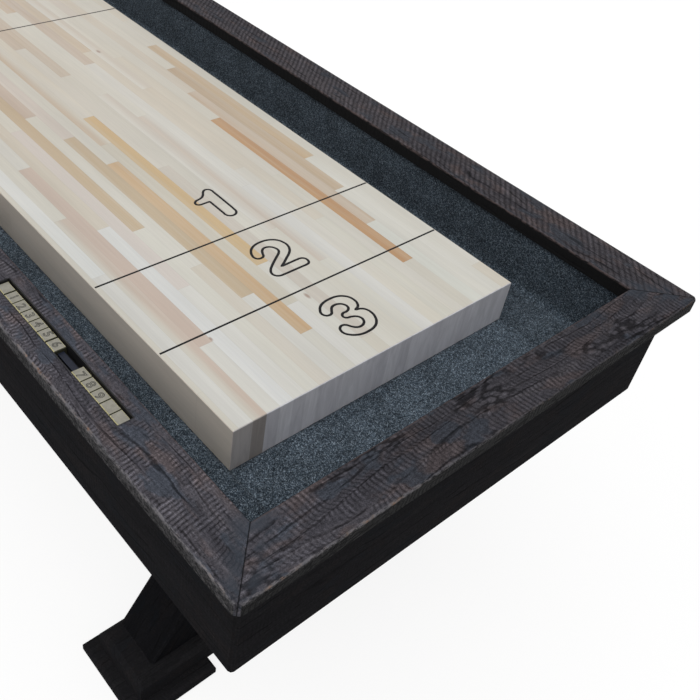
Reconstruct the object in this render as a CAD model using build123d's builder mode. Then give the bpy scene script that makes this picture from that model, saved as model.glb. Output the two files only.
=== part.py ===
from build123d import *
import math
import os

# A twelve-foot shuffleboard table. A butcher-block playfield lies in a carpeted gutter,
# inside a boxed cabinet with a mitred cap rail, on two crossed-leg trestles.
# Origin on the floor under the table's centre, +X along the table to its front end,
# +Y to the right of a player who stands at the front end, +Z up.
# The table is the same after half a turn about its centre, scorers included.

# ---- Playfield and gutters -------------------------------------------------------------
playfield_length = 3256.0
playfield_width = 508.0
playfield_thickness = 76.0
playfield_bevel = 1.0
side_gutter = 82.0           # playfield's side to the cap's inner edge
end_gutter = 132.0           # playfield's end to the cap's inner edge
gutter_depth = 69.0          # playing surface down to the carpet
carpet_thickness = 5.0
carpet_clearance = 0.5       # carpet's edge to the playfield
gutter_board_thickness = 12.0
gutter_board_clearance = 2.0  # board's edge to the playfield

# ---- Cabinet ---------------------------------------------------------------------------
table_height = 800.0         # floor to the top of the cap
rail_rise = 43.0             # top of the cap above the playing surface
cap_width = 69.0
cap_thickness = 21.0
cap_overhang = 22.0          # cap past the cabinet's outer faces
cap_round = 2.5
cap_corner_ease = 7.0        # cut off each mitred corner of the cap, along either side
panel_thickness = 38.0
panel_height = 165.0
panel_bevel = 2.5
panel_corner_ease = 5.0
corner_block_leg = 60.0
cleat_width = 20.0
cleat_height = 30.0
bearer_width = 38.0
bearer_seat_inset = 6.0      # seat's end inside the playfield's side
bearer_shares = (0.15, 0.47)  # centre distances of the inner pairs over the playfield's length
end_bearer_inset = 4.0       # end bearer's face past the playfield's end

# ---- Trestles --------------------------------------------------------------------------
trestle_inset = 158.0        # playfield's end back to the trestle's centre
foot_beam_length = 652.0
foot_beam_height = 50.0
foot_beam_bevel = 8.0
beam_width = 132.0           # foot beam and head beam, along X
head_beam_length = 600.0
head_beam_height = 50.0
head_beam_bevel = 30.0
pad_length = 165.0           # along the foot beam
pad_width = 179.0
pad_thickness = 20.0
pad_inset = 60.0             # foot beam's end back to the pad's centre
pad_round = 7.0
leg_thickness = 100.0
leg_set_back = 9.0           # legs' centre behind the trestle's centre
leg_width = 100.0            # square to the leg's own length
leg_foot_inset = 99.0        # foot beam's end back to the leg's centre line
leg_head_inset = 195.0       # head beam's end back to the leg's centre line
leg_bevel = 3.0
tenon_length = 60.0          # along the beam
tenon_width = 40.0
tenon_depth = 25.0
mortise_clearance = 0.3

# ---- Bolts that hold the trestles to the cabinet -----------------------------------------
bolt_radius = 5.0
bolt_hole_clearance = 0.2
bolt_reach = 45.0            # into the bearer
bolt_spacing_x = 90.0
bolt_spacing_y = 440.0
bolt_head_flats = 17.0
bolt_head_height = 7.0
bolt_pocket_radius = 15.0
bolt_pocket_depth = 12.0

# ---- Levellers, one in each foot pad -----------------------------------------------------
leveller_foot_flats = 34.0
leveller_foot_height = 6.0
leveller_foot_bevel = 1.5
leveller_stud_radius = 5.0
leveller_stud_length = 46.0
leveller_clearance = 0.3

# ---- Climatic adjusters under the playfield ----------------------------------------------
adjuster_share = 1 / 3       # distance between adjusters over the playfield's length
adjuster_span = 340.0        # between the outer faces of one pair of brackets
bracket_length = 90.0
bracket_leaf = 44.0
bracket_thickness = 8.0
bracket_corner_bevel = 5.0
rod_radius = 6.0
rod_running_clearance = 0.08
rod_drop = 25.0              # playfield's underside to the rod's axis
rod_overrun = 22.0           # rod's end past the bracket
rod_hex_flats = 19.0
rod_hex_length = 24.0

# ---- Abacus scorers in the caps of the long sides ----------------------------------------
slot_length = 288.0
slot_width = 22.6
slot_centre_inset = 29.7     # slot's centre line outside the cap's inner edge
slot_end_distance = 48.0     # playfield's end back to the slot's nearer end
slot_round = 2.0
tray_clearance = 0.1
tray_wall = 1.2
tray_floor = 2.0
tray_rim_drop = 0.5          # tray's rim below the top of the cap
tile_length = 20.0
tile_width = 16.0
tile_height = 14.0
tile_drop = 4.0              # tile's top below the top of the cap
tile_bevel = 0.8
tile_gap = 0.4
tile_slack = 1.0             # extra gap at the two loose places of the low run
guide_width = 8.0
guide_thickness = 3.0
guide_drop = 5.0             # top of the guide bar below the tile's top
guide_clearance = 0.3
guide_socket_clearance = 0.05
low_tiles = ("start", "1", "2", "3", "4", "5", "6")
high_tiles = ("7", "8", "9", "end_1", "end_2")

# ---- Levels ------------------------------------------------------------------------------
cap_bottom = table_height - cap_thickness
cabinet_bottom = cap_bottom - panel_height
playing_surface = table_height - rail_rise
playfield_bottom = playing_surface - playfield_thickness
carpet_top = playing_surface - gutter_depth
carpet_bottom = carpet_top - carpet_thickness
gutter_board_bottom = carpet_bottom - gutter_board_thickness
foot_beam_top = pad_thickness + foot_beam_height
head_beam_bottom = cabinet_bottom - head_beam_height

# ---- Half lengths along X and half widths along Y ------------------------------------------
playfield_x = playfield_length / 2
playfield_y = playfield_width / 2
cap_inner_x = playfield_x + end_gutter
cap_inner_y = playfield_y + side_gutter
cap_outer_x = cap_inner_x + cap_width
cap_outer_y = cap_inner_y + cap_width
panel_outer_x = cap_outer_x - cap_overhang
panel_outer_y = cap_outer_y - cap_overhang
panel_inner_x = panel_outer_x - panel_thickness
panel_inner_y = panel_outer_y - panel_thickness
carpet_face_x = panel_inner_x - carpet_thickness
carpet_face_y = panel_inner_y - carpet_thickness
trestle_x = playfield_x - trestle_inset
leg_x = trestle_x - leg_set_back
pad_spacing = foot_beam_length - 2 * pad_inset
leg_foot_spread = foot_beam_length - 2 * leg_foot_inset
leg_head_spread = head_beam_length - 2 * leg_head_inset

os.makedirs("parts", exist_ok=True)


def write(piece, name):
    """Label a finished piece and write its STEP file."""
    piece.label = name
    export_step(piece, f"parts/{name}.step")


def turned(piece):
    """The same piece on the other half of the table, half a turn about the centre."""
    return piece.rotate(Axis.Z, 180)


# ---- Playfield ---------------------------------------------------------------------------
with BuildPart() as playfield:
    with BuildSketch(Plane.XY.offset(playfield_bottom)):
        Rectangle(playfield_length, playfield_width)
    extrude(amount=playfield_thickness)
    chamfer(playfield.faces().sort_by(Axis.Z)[-1].edges(), playfield_bevel)
write(playfield.part, "playfield")


# ---- Cap rail: four mitred boards, the long ones slotted for a scorer ----------------------
slot_x = playfield_x - slot_end_distance - slot_length / 2
slot_y = -(cap_inner_y + slot_centre_inset)


def long_board(outer_x, outer_y, inner_x, inner_y, ease):
    """Outline of the left-hand board of a mitred frame, its outer corners eased."""
    Polygon(
        (-outer_x + ease, -outer_y), (outer_x - ease, -outer_y),
        (outer_x - ease / 2, -outer_y + ease / 2), (inner_x, -inner_y),
        (-inner_x, -inner_y), (-outer_x + ease / 2, -outer_y + ease / 2), align=None)


def end_board(outer_x, outer_y, inner_x, inner_y, ease):
    """Outline of the front board of a mitred frame, its outer corners eased."""
    Polygon(
        (outer_x, -outer_y + ease), (outer_x, outer_y - ease),
        (outer_x - ease / 2, outer_y - ease / 2), (inner_x, inner_y),
        (inner_x, -inner_y), (outer_x - ease / 2, -outer_y + ease / 2), align=None)


def round_cap_edges(board, across):
    """Round the two long top edges of a cap board that runs square to the axis across."""
    top = board.faces().sort_by(Axis.Z)[-1]
    along = Axis.X if across == Axis.Y else Axis.Y
    fillet(top.edges().filter_by(along).group_by(across)[0], cap_round)
    top = board.faces().sort_by(Axis.Z)[-1]
    fillet(top.edges().filter_by(along).group_by(across)[-1], cap_round)


with BuildPart() as cap_left:
    with BuildSketch(Plane.XY.offset(cap_bottom)):
        long_board(cap_outer_x, cap_outer_y, cap_inner_x, cap_inner_y, cap_corner_ease)
    extrude(amount=cap_thickness)
    round_cap_edges(cap_left, Axis.Y)
    with BuildSketch(Plane.XY.offset(cap_bottom)):
        with Locations((slot_x, slot_y)):
            RectangleRounded(slot_length, slot_width, slot_round)
    extrude(amount=cap_thickness, mode=Mode.SUBTRACT)
write(cap_left.part, "cap_left")
write(turned(cap_left.part), "cap_right")

with BuildPart() as cap_front:
    with BuildSketch(Plane.XY.offset(cap_bottom)):
        end_board(cap_outer_x, cap_outer_y, cap_inner_x, cap_inner_y, cap_corner_ease)
    extrude(amount=cap_thickness)
    round_cap_edges(cap_front, Axis.X)
write(cap_front.part, "cap_front")
write(turned(cap_front.part), "cap_rear")


# ---- Cabinet panels, mitred at the corners --------------------------------------------------
with BuildPart() as panel_left:
    with BuildSketch(Plane.XY.offset(cabinet_bottom)):
        long_board(panel_outer_x, panel_outer_y, panel_inner_x, panel_inner_y, panel_corner_ease)
    extrude(amount=panel_height)
    foot_edge = panel_left.edges().filter_by(Axis.X).group_by(Axis.Z)[0].sort_by(Axis.Y)[0]
    chamfer(foot_edge, panel_bevel)
write(panel_left.part, "panel_left")
write(turned(panel_left.part), "panel_right")

with BuildPart() as panel_front:
    with BuildSketch(Plane.XY.offset(cabinet_bottom)):
        end_board(panel_outer_x, panel_outer_y, panel_inner_x, panel_inner_y, panel_corner_ease)
    extrude(amount=panel_height)
    foot_edge = panel_front.edges().filter_by(Axis.Y).group_by(Axis.Z)[0].sort_by(Axis.X)[-1]
    chamfer(foot_edge, panel_bevel)
write(panel_front.part, "panel_front")
write(turned(panel_front.part), "panel_rear")


# ---- Corner blocks and end cleats inside the cabinet ------------------------------------------
with BuildPart() as corner_blocks:
    with BuildSketch(Plane.XY.offset(cabinet_bottom)):
        Polygon(
            (panel_inner_x, panel_inner_y),
            (panel_inner_x - corner_block_leg, panel_inner_y),
            (panel_inner_x, panel_inner_y - corner_block_leg), align=None)
        mirror(about=Plane.YZ)
        mirror(about=Plane.XZ)
    extrude(amount=gutter_board_bottom - cabinet_bottom)
write(corner_blocks.part, "corner_blocks")

with BuildPart() as end_cleats:
    with BuildSketch(Plane.XY.offset(gutter_board_bottom - cleat_height)):
        with GridLocations(2 * panel_inner_x - cleat_width, 0, 2, 1):
            Rectangle(cleat_width, 2 * (panel_inner_y - corner_block_leg))
    extrude(amount=cleat_height)
write(end_cleats.part, "end_cleats")


# ---- Bearers: the raised seat carries the playfield, the lower ends the gutter boards ----------
end_bearer_x = playfield_x + end_bearer_inset + bearer_width / 2
leg_bearer_places = [
    sign * (trestle_x + side * bolt_spacing_x / 2) for sign in (-1, 1) for side in (-1, 1)]
seated_bearer_places = leg_bearer_places + [
    sign * share * playfield_x for share in bearer_shares for sign in (-1, 1)]

with BuildPart() as cross_bearers:
    with BuildSketch(*[Plane.YZ.offset(x) for x in seated_bearer_places]):
        with Locations((0, cabinet_bottom)):
            Rectangle(
                2 * panel_inner_y, gutter_board_bottom - cabinet_bottom,
                align=(Align.CENTER, Align.MIN))
            Rectangle(
                playfield_width - 2 * bearer_seat_inset, playfield_bottom - cabinet_bottom,
                align=(Align.CENTER, Align.MIN))
    extrude(amount=bearer_width / 2, both=True)
    with BuildSketch(Plane.XY.offset(cabinet_bottom)):
        with GridLocations(2 * end_bearer_x, 0, 2, 1):
            Rectangle(bearer_width, 2 * panel_inner_y)
    extrude(amount=gutter_board_bottom - cabinet_bottom)
    with BuildSketch(Plane.XY.offset(cabinet_bottom)):
        with GridLocations(2 * trestle_x, 0, 2, 1):
            with GridLocations(bolt_spacing_x, bolt_spacing_y, 2, 2):
                Circle(bolt_radius + bolt_hole_clearance)
    extrude(amount=bolt_reach + bolt_hole_clearance, mode=Mode.SUBTRACT)
write(cross_bearers.part, "cross_bearers")


# ---- Gutter floor and its carpet ----------------------------------------------------------------
board_inner_x = playfield_x + gutter_board_clearance
board_inner_y = playfield_y + gutter_board_clearance

with BuildPart() as gutter_boards_side:
    with BuildSketch(Plane.XY.offset(gutter_board_bottom)):
        with GridLocations(0, panel_inner_y + board_inner_y, 1, 2):
            Rectangle(2 * panel_inner_x, panel_inner_y - board_inner_y)
    extrude(amount=gutter_board_thickness)
write(gutter_boards_side.part, "gutter_boards_side")

with BuildPart() as gutter_boards_end:
    with BuildSketch(Plane.XY.offset(gutter_board_bottom)):
        with GridLocations(panel_inner_x + board_inner_x, 0, 2, 1):
            Rectangle(panel_inner_x - board_inner_x, 2 * board_inner_y)
    extrude(amount=gutter_board_thickness)
write(gutter_boards_end.part, "gutter_boards_end")

carpet_inner_x = playfield_x + carpet_clearance
carpet_inner_y = playfield_y + carpet_clearance

with BuildPart() as carpet_sides:
    with BuildSketch(Plane.YZ):
        with Locations((panel_inner_y, carpet_bottom)):
            Rectangle(
                panel_inner_y - carpet_inner_y, carpet_thickness,
                align=(Align.MAX, Align.MIN))
            Rectangle(
                carpet_thickness, cap_bottom - carpet_bottom, align=(Align.MAX, Align.MIN))
        mirror(about=Plane.YZ)
    extrude(amount=panel_inner_x, both=True)
write(carpet_sides.part, "carpet_sides")

with BuildPart() as carpet_ends:
    with BuildSketch(Plane.XY.offset(carpet_bottom)):
        with GridLocations(panel_inner_x + carpet_inner_x, 0, 2, 1):
            Rectangle(panel_inner_x - carpet_inner_x, 2 * carpet_inner_y)
    extrude(amount=carpet_thickness)
    with BuildSketch(Plane.XY.offset(carpet_top)):
        with GridLocations(panel_inner_x + carpet_face_x, 0, 2, 1):
            Rectangle(carpet_thickness, 2 * carpet_face_y)
    extrude(amount=cap_bottom - carpet_top)
write(carpet_ends.part, "carpet_ends")


# ---- Abacus scorers: a tray in the slot, a flat guide bar, and tiles threaded on it ---------------
tray_length = slot_length - 2 * tray_clearance
tray_width = slot_width - 2 * tray_clearance
tray_bay = tray_length - 2 * tray_wall
guide_z = table_height - tile_drop - guide_drop - guide_thickness / 2


def guide_outline(clearance=0.0):
    """Cross-section of the guide bar, or of the opening it passes through with a clearance."""
    with Locations((slot_y, guide_z)):
        Rectangle(guide_width + 2 * clearance, guide_thickness + 2 * clearance)


with BuildPart() as scorer_tray:
    with BuildSketch(Plane.XY.offset(cap_bottom)):
        with Locations((slot_x, slot_y)):
            RectangleRounded(tray_length, tray_width, slot_round)
    extrude(amount=cap_thickness - tray_rim_drop)
    with BuildSketch(Plane.XY.offset(cap_bottom + tray_floor)):
        with Locations((slot_x, slot_y)):
            Rectangle(tray_bay, tray_width - 2 * tray_wall)
    extrude(amount=cap_thickness, mode=Mode.SUBTRACT)
    with BuildSketch(Plane.YZ.offset(slot_x)):
        guide_outline(guide_socket_clearance)
    extrude(amount=tray_length / 2, both=True, mode=Mode.SUBTRACT)

with BuildPart() as scorer_guide:
    with BuildSketch(Plane.YZ.offset(slot_x)):
        guide_outline()
    extrude(amount=tray_length / 2, both=True)

write(Compound(children=[scorer_tray.part, turned(scorer_tray.part)]), "scorer_trays")
write(Compound(children=[scorer_guide.part, turned(scorer_guide.part)]), "scorer_guides")


def tile_places():
    """Each tile's name and the X of its centre, from the start of the bay to its end."""
    places = []
    edge = slot_x - tray_bay / 2 + tile_gap
    for number, name in enumerate(low_tiles):
        if number in (1, len(low_tiles) - 1):
            edge += tile_slack
        places.append((name, edge + tile_length / 2))
        edge += tile_length + tile_gap
    edge = slot_x + tray_bay / 2 - len(high_tiles) * (tile_length + tile_gap)
    for name in high_tiles:
        places.append((name, edge + tile_length / 2))
        edge += tile_length + tile_gap
    return places


for tile_name, tile_x in tile_places():
    with BuildPart() as tile:
        with BuildSketch(Plane.XY.offset(table_height - tile_drop - tile_height)):
            with Locations((tile_x, slot_y)):
                Rectangle(tile_length, tile_width)
        extrude(amount=tile_height)
        chamfer(tile.faces().sort_by(Axis.Z)[-1].edges(), tile_bevel)
        with BuildSketch(Plane.YZ.offset(tile_x)):
            guide_outline(guide_clearance)
        extrude(amount=tile_length, both=True, mode=Mode.SUBTRACT)
    write(tile.part, f"left_tile_{tile_name}")
    write(turned(tile.part), f"right_tile_{tile_name}")


# ---- Trestles: two half-lapped legs, tenoned into a foot beam and a head beam ----------------------
leg_rise = head_beam_bottom - foot_beam_top
leg_run = (leg_foot_spread + leg_head_spread) / 2
leg_cut = leg_width * math.hypot(leg_rise, leg_run) / leg_rise


def leg_outline(side):
    """Side view of the leg whose foot is at that side, -1 for the left one and 1 for the right."""
    foot, head = side * leg_foot_spread / 2, -side * leg_head_spread / 2
    Polygon(
        (foot - leg_cut / 2, foot_beam_top), (foot + leg_cut / 2, foot_beam_top),
        (head + leg_cut / 2, head_beam_bottom), (head - leg_cut / 2, head_beam_bottom),
        align=None)


def tenon_outlines(side, clearance=0.0):
    """Side view of that leg's two tenons, or of their mortises with a clearance."""
    foot, head = side * leg_foot_spread / 2, -side * leg_head_spread / 2
    size = (tenon_length + 2 * clearance, tenon_depth + clearance)
    with Locations((foot, foot_beam_top)):
        Rectangle(*size, align=(Align.CENTER, Align.MAX))
    with Locations((head, head_beam_bottom)):
        Rectangle(*size, align=(Align.CENTER, Align.MIN))


for side, leg_name in ((-1, "left"), (1, "right")):
    with BuildPart() as cross_leg:
        with BuildSketch(Plane.YZ.offset(leg_x)):
            leg_outline(side)
        extrude(amount=leg_thickness / 2, both=True)
        long_edges = cross_leg.edges().sort_by(Edge.length)[-4:]
        chamfer(long_edges, leg_bevel)
        with BuildSketch(Plane.YZ.offset(leg_x)):
            tenon_outlines(side)
        extrude(amount=tenon_width / 2, both=True)
        with BuildSketch(Plane.YZ.offset(leg_x)):
            leg_outline(-side)
        extrude(amount=side * leg_thickness / 2, mode=Mode.SUBTRACT)
    write(cross_leg.part, f"cross_leg_{leg_name}_front")
    write(turned(cross_leg.part), f"cross_leg_{leg_name}_rear")

with BuildPart() as foot_beam:
    with BuildSketch(Plane.XY.offset(pad_thickness)):
        with Locations((trestle_x, 0)):
            Rectangle(beam_width, foot_beam_length)
    extrude(amount=foot_beam_height)
    chamfer(foot_beam.faces().sort_by(Axis.Z)[-1].edges(), foot_beam_bevel)
    with BuildSketch(Plane.YZ.offset(leg_x)):
        tenon_outlines(-1, mortise_clearance)
        tenon_outlines(1, mortise_clearance)
    extrude(amount=tenon_width / 2 + mortise_clearance, both=True, mode=Mode.SUBTRACT)
    with BuildSketch(Plane.XY.offset(pad_thickness)):
        with Locations((trestle_x, 0)):
            with GridLocations(0, pad_spacing, 1, 2):
                Circle(leveller_stud_radius + leveller_clearance)
    stud_top = leveller_foot_height + leveller_stud_length
    extrude(amount=stud_top + leveller_clearance - pad_thickness, mode=Mode.SUBTRACT)
write(foot_beam.part, "foot_beam_front")
write(turned(foot_beam.part), "foot_beam_rear")

with BuildPart() as head_beam:
    with BuildSketch(Plane.YZ.offset(trestle_x)):
        with Locations((0, head_beam_bottom)):
            Trapezoid(
                head_beam_length, head_beam_height,
                180 - math.degrees(math.atan2(head_beam_height, head_beam_bevel)),
                align=(Align.CENTER, Align.MIN))
    extrude(amount=beam_width / 2, both=True)
    with BuildSketch(Plane.YZ.offset(leg_x)):
        tenon_outlines(-1, mortise_clearance)
        tenon_outlines(1, mortise_clearance)
    extrude(amount=tenon_width / 2 + mortise_clearance, both=True, mode=Mode.SUBTRACT)
    with Locations(Plane(origin=(trestle_x, 0, head_beam_bottom), x_dir=(1, 0, 0), z_dir=(0, 0, -1))):
        with GridLocations(bolt_spacing_x, bolt_spacing_y, 2, 2):
            CounterBoreHole(
                bolt_radius + bolt_hole_clearance, bolt_pocket_radius, bolt_pocket_depth,
                depth=head_beam_height)
write(head_beam.part, "head_beam_front")
write(turned(head_beam.part), "head_beam_rear")

with BuildPart() as foot_pads:
    with BuildSketch(Plane.XY):
        with GridLocations(2 * trestle_x, pad_spacing, 2, 2):
            Rectangle(pad_width, pad_length)
    extrude(amount=pad_thickness)
    fillet(foot_pads.edges().group_by(Axis.Z)[-1], pad_round)
    with BuildSketch(Plane.XY):
        with GridLocations(2 * trestle_x, pad_spacing, 2, 2):
            Circle(leveller_stud_radius + leveller_clearance)
    extrude(amount=pad_thickness, mode=Mode.SUBTRACT)
    with BuildSketch(Plane.XY):
        with GridLocations(2 * trestle_x, pad_spacing, 2, 2):
            Circle(leveller_foot_flats / math.sqrt(3) + leveller_clearance)
    extrude(amount=leveller_foot_height + leveller_clearance, mode=Mode.SUBTRACT)
write(foot_pads.part, "foot_pads")

for end, end_name in ((1, "front"), (-1, "rear")):
    for side, side_name in ((-1, "left"), (1, "right")):
        with BuildPart() as leveller:
            with BuildSketch(Plane.XY):
                with Locations((end * trestle_x, side * pad_spacing / 2)):
                    RegularPolygon(leveller_foot_flats / 2, 6, major_radius=False)
            extrude(amount=leveller_foot_height)
            chamfer(leveller.edges().group_by(Axis.Z)[0], leveller_foot_bevel)
            with BuildSketch(Plane.XY.offset(leveller_foot_height)):
                with Locations((end * trestle_x, side * pad_spacing / 2)):
                    Circle(leveller_stud_radius)
            extrude(amount=leveller_stud_length)
        write(leveller.part, f"leveller_{end_name}_{side_name}")

bolt_seat = head_beam_bottom + bolt_pocket_depth
with BuildPart() as leg_bolts:
    with BuildSketch(Plane.XY.offset(bolt_seat)):
        with GridLocations(2 * trestle_x, 0, 2, 1):
            with GridLocations(bolt_spacing_x, bolt_spacing_y, 2, 2):
                Circle(bolt_radius)
    extrude(amount=cabinet_bottom + bolt_reach - bolt_seat)
    with BuildSketch(Plane.XY.offset(bolt_seat - bolt_head_height)):
        with GridLocations(2 * trestle_x, 0, 2, 1):
            with GridLocations(bolt_spacing_x, bolt_spacing_y, 2, 2):
                RegularPolygon(bolt_head_flats / 2, 6, major_radius=False)
    extrude(amount=bolt_head_height)
write(leg_bolts.part, "leg_bolts")


# ---- Climatic adjusters: a rod with opposed threads draws two brackets together --------------------
rod_z = playfield_bottom - rod_drop
adjuster_spacing = adjuster_share * playfield_length
adjuster_places = ((adjuster_spacing, "front"), (0.0, "middle"), (-adjuster_spacing, "rear"))

with BuildPart() as adjuster_brackets:
    with BuildSketch(*[Plane.YZ.offset(x) for x, _ in adjuster_places]):
        with Locations((adjuster_span / 2, playfield_bottom)):
            Rectangle(bracket_leaf, bracket_thickness, align=(Align.MAX, Align.MAX))
            Rectangle(bracket_thickness, bracket_leaf, align=(Align.MAX, Align.MAX))
        mirror(about=Plane.YZ)
    extrude(amount=bracket_length / 2, both=True)
    chamfer(adjuster_brackets.edges().filter_by(Axis.Y).group_by(Axis.Z)[0], bracket_corner_bevel)
    with BuildSketch(Plane.XZ):
        for x, _ in adjuster_places:
            with Locations((x, rod_z)):
                Circle(rod_radius + rod_running_clearance)
    extrude(amount=adjuster_span, both=True, mode=Mode.SUBTRACT)
write(adjuster_brackets.part, "adjuster_brackets")

for rod_x, rod_name in adjuster_places:
    with BuildPart() as adjuster_rod:
        with BuildSketch(Plane.XZ):
            with Locations((rod_x, rod_z)):
                Circle(rod_radius)
        extrude(amount=adjuster_span / 2 + rod_overrun, both=True)
        with BuildSketch(Plane.XZ):
            with Locations((rod_x, rod_z)):
                RegularPolygon(rod_hex_flats / 2, 6, major_radius=False)
        extrude(amount=rod_hex_length / 2, both=True)
    write(adjuster_rod.part, f"adjuster_rod_{rod_name}")
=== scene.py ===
import math

import bmesh
import bpy
from mathutils import Matrix, Vector, noise


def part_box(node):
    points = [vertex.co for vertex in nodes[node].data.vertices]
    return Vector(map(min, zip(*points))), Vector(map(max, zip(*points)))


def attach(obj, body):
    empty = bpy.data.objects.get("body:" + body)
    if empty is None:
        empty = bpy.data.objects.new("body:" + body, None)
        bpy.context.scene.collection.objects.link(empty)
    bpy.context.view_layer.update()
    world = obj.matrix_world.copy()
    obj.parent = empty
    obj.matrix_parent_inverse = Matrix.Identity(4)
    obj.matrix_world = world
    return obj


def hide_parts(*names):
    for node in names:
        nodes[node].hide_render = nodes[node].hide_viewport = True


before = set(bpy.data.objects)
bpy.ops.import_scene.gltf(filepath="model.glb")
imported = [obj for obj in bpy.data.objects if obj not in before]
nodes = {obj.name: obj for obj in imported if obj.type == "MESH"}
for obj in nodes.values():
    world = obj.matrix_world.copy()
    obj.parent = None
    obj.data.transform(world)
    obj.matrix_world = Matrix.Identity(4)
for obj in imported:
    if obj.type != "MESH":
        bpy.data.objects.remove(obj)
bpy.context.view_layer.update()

# ---- Places and sizes that the frame gives, in metres ----
FIELD_X, FIELD_Y, FIELD_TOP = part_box("playfield")[1]
CAP_X, CAP_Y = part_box("cap_front")[1].x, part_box("cap_right")[1].y
CAP_FOOT, CAP_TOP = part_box("cap_left")[0].z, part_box("cap_left")[1].z
CAP_WIDTH = 0.069
CARPET_X, CARPET_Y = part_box("carpet_ends")[1].x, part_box("carpet_sides")[1].y
CARPET_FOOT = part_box("carpet_sides")[0].z


# ---- The finish maker ----
class Finish:
    """A finish in the making: each step adds a node and hands back its outlet."""

    def __init__(self, name):
        self.material = bpy.data.materials.new(name)
        self.material.use_nodes = True
        self.tree = self.material.node_tree
        self.tree.nodes.clear()
        self.here = None

    def add(self, kind, plugs=(), **settings):
        node = self.tree.nodes.new("ShaderNode" + kind)
        for setting, value in settings.items():
            setattr(node, setting, value)
        for inlet, value in dict(plugs).items():
            self.feed(node.inputs[inlet], value)
        return node

    def feed(self, inlet, value):
        if isinstance(value, bpy.types.NodeSocket):
            self.tree.links.new(value, inlet)
        elif value is not None:
            inlet.default_value = value

    def place(self, turn=(0, 0, 0), shift=(0, 0, 0)):
        """Object coordinates in metres, turned and shifted."""
        if self.here is None:
            self.here = self.add("TexCoord").outputs["Object"]
        return self.add("Mapping", {"Vector": self.here, "Rotation": turn, "Location": shift}).outputs[0]

    def stretch(self, vector, *by):
        return self.add("Mapping", {"Vector": vector, "Scale": by}).outputs[0]

    def shift(self, vector, by):
        return self.add("VectorMath", {0: vector, 1: by}, operation="ADD").outputs[0]

    def split(self, vector):
        return self.add("SeparateXYZ", {0: vector}).outputs[:3]

    def join(self, x, y, z):
        return self.add("CombineXYZ", {0: x, 1: y, 2: z}).outputs[0]

    def calc(self, how, a, b=None, c=None):
        return self.add("Math", {0: a, 1: b, 2: c}, operation=how).outputs[0]

    def plus(self, *values):
        total = values[0]
        for value in values[1:]:
            total = self.calc("ADD", total, value)
        return total

    def times(self, *values):
        total = values[0]
        for value in values[1:]:
            total = self.calc("MULTIPLY", total, value)
        return total

    def less(self, a, b):
        return self.calc("SUBTRACT", a, b)

    def spared(self, mask, by=1.0):
        """What is left where the mask takes its share away."""
        return self.less(1.0, self.times(mask, by))

    def grade(self, value, low, high, start=0.0, end=1.0):
        """Eases from start to end while the value goes from low to high."""
        plugs = {"Value": value, "From Min": low, "From Max": high, "To Min": start, "To Max": end}
        return self.add("MapRange", plugs, interpolation_type="SMOOTHSTEP").outputs[0]

    def noise(self, vector, size=1.0, detail=2.0, rough=0.5, warp=0.0):
        plugs = {"Vector": vector, "Scale": 1 / size, "Detail": detail, "Roughness": rough,
                 "Distortion": warp}
        return self.add("TexNoise", plugs).outputs[0]

    def cells(self, vector, size=1.0):
        """Irregular cells: a lot drawn for each, and the distance from its middle."""
        node = self.add("TexVoronoi", {"Vector": vector, "Scale": 1 / size})
        return self.split(node.outputs["Color"])[0], node.outputs["Distance"]

    def dice(self, vector):
        """One lot from 0 to 1 for each place."""
        return self.add("TexWhiteNoise", {"Vector": vector}, noise_dimensions="3D").outputs[0]

    def ramp(self, value, stops, steps="LINEAR"):
        node = self.add("ValToRGB", {0: value})
        band = node.color_ramp
        band.interpolation = steps
        band.elements[0].position, band.elements[-1].position = stops[0][0], stops[-1][0]
        for position, _ in stops[1:-1]:
            band.elements.new(position)
        for stop, (_, colour) in zip(band.elements, stops):
            stop.color = (*colour, 1)
        return node.outputs[0]

    def mix(self, share, under, over, how="MIX"):
        node = self.add("Mix", data_type="RGBA", blend_type=how)
        for inlet, value in ((0, share), (6, under), (7, over)):
            self.feed(node.inputs[inlet], (*value, 1) if isinstance(value, tuple) else value)
        return node.outputs[2]

    def shade(self, colour, factor):
        return self.mix(1.0, colour, self.join(factor, factor, factor), "MULTIPLY")

    def tinge(self, colour, by):
        """The colour times another one."""
        return self.mix(1.0, colour, by, "MULTIPLY")

    def relief(self, height, depth):
        return self.add("Bump", {"Height": height, "Distance": depth, "Strength": 1.0}).outputs[0]

    def arris(self, radius):
        """A mask of the edges that stick out, radius wide."""
        soft = self.add("Bevel", {"Radius": radius}, samples=4).outputs[0]
        hard = self.add("NewGeometry").outputs["Normal"]
        match = self.add("VectorMath", {0: soft, 1: hard}, operation="DOT_PRODUCT").outputs["Value"]
        return self.grade(match, 0.995, 0.80)

    def done(self, colour, roughness, normal, **fixed):
        surface = self.add("BsdfPrincipled")
        colour = (*colour, 1) if isinstance(colour, tuple) else colour
        for inlet, value in (("Base Color", colour), ("Roughness", roughness), ("Normal", normal)):
            self.feed(surface.inputs[inlet], value)
        for inlet, value in fixed.items():
            surface.inputs[inlet.replace("_", " ")].default_value = value
        self.add("OutputMaterial", {0: surface.outputs[0]})
        return self.material


def paint(material, *names):
    """Gives CAD nodes a material."""
    for name in names:
        nodes[name].data.materials.clear()
        nodes[name].data.materials.append(material)


def settle(piece, body, material):
    """Puts a new piece on the body that it rides on."""
    piece.data.materials.clear()
    piece.data.materials.append(material)
    bpy.context.scene.collection.objects.link(piece)
    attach(piece, body)
    return piece


def once(parts):
    """Each part once, in the order they come."""
    return list(dict.fromkeys(parts))


def piece_from(shape, name, body, material):
    mesh = bpy.data.meshes.new(name)
    shape.to_mesh(mesh)
    shape.free()
    return settle(bpy.data.objects.new(name, mesh), body, material)


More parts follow.
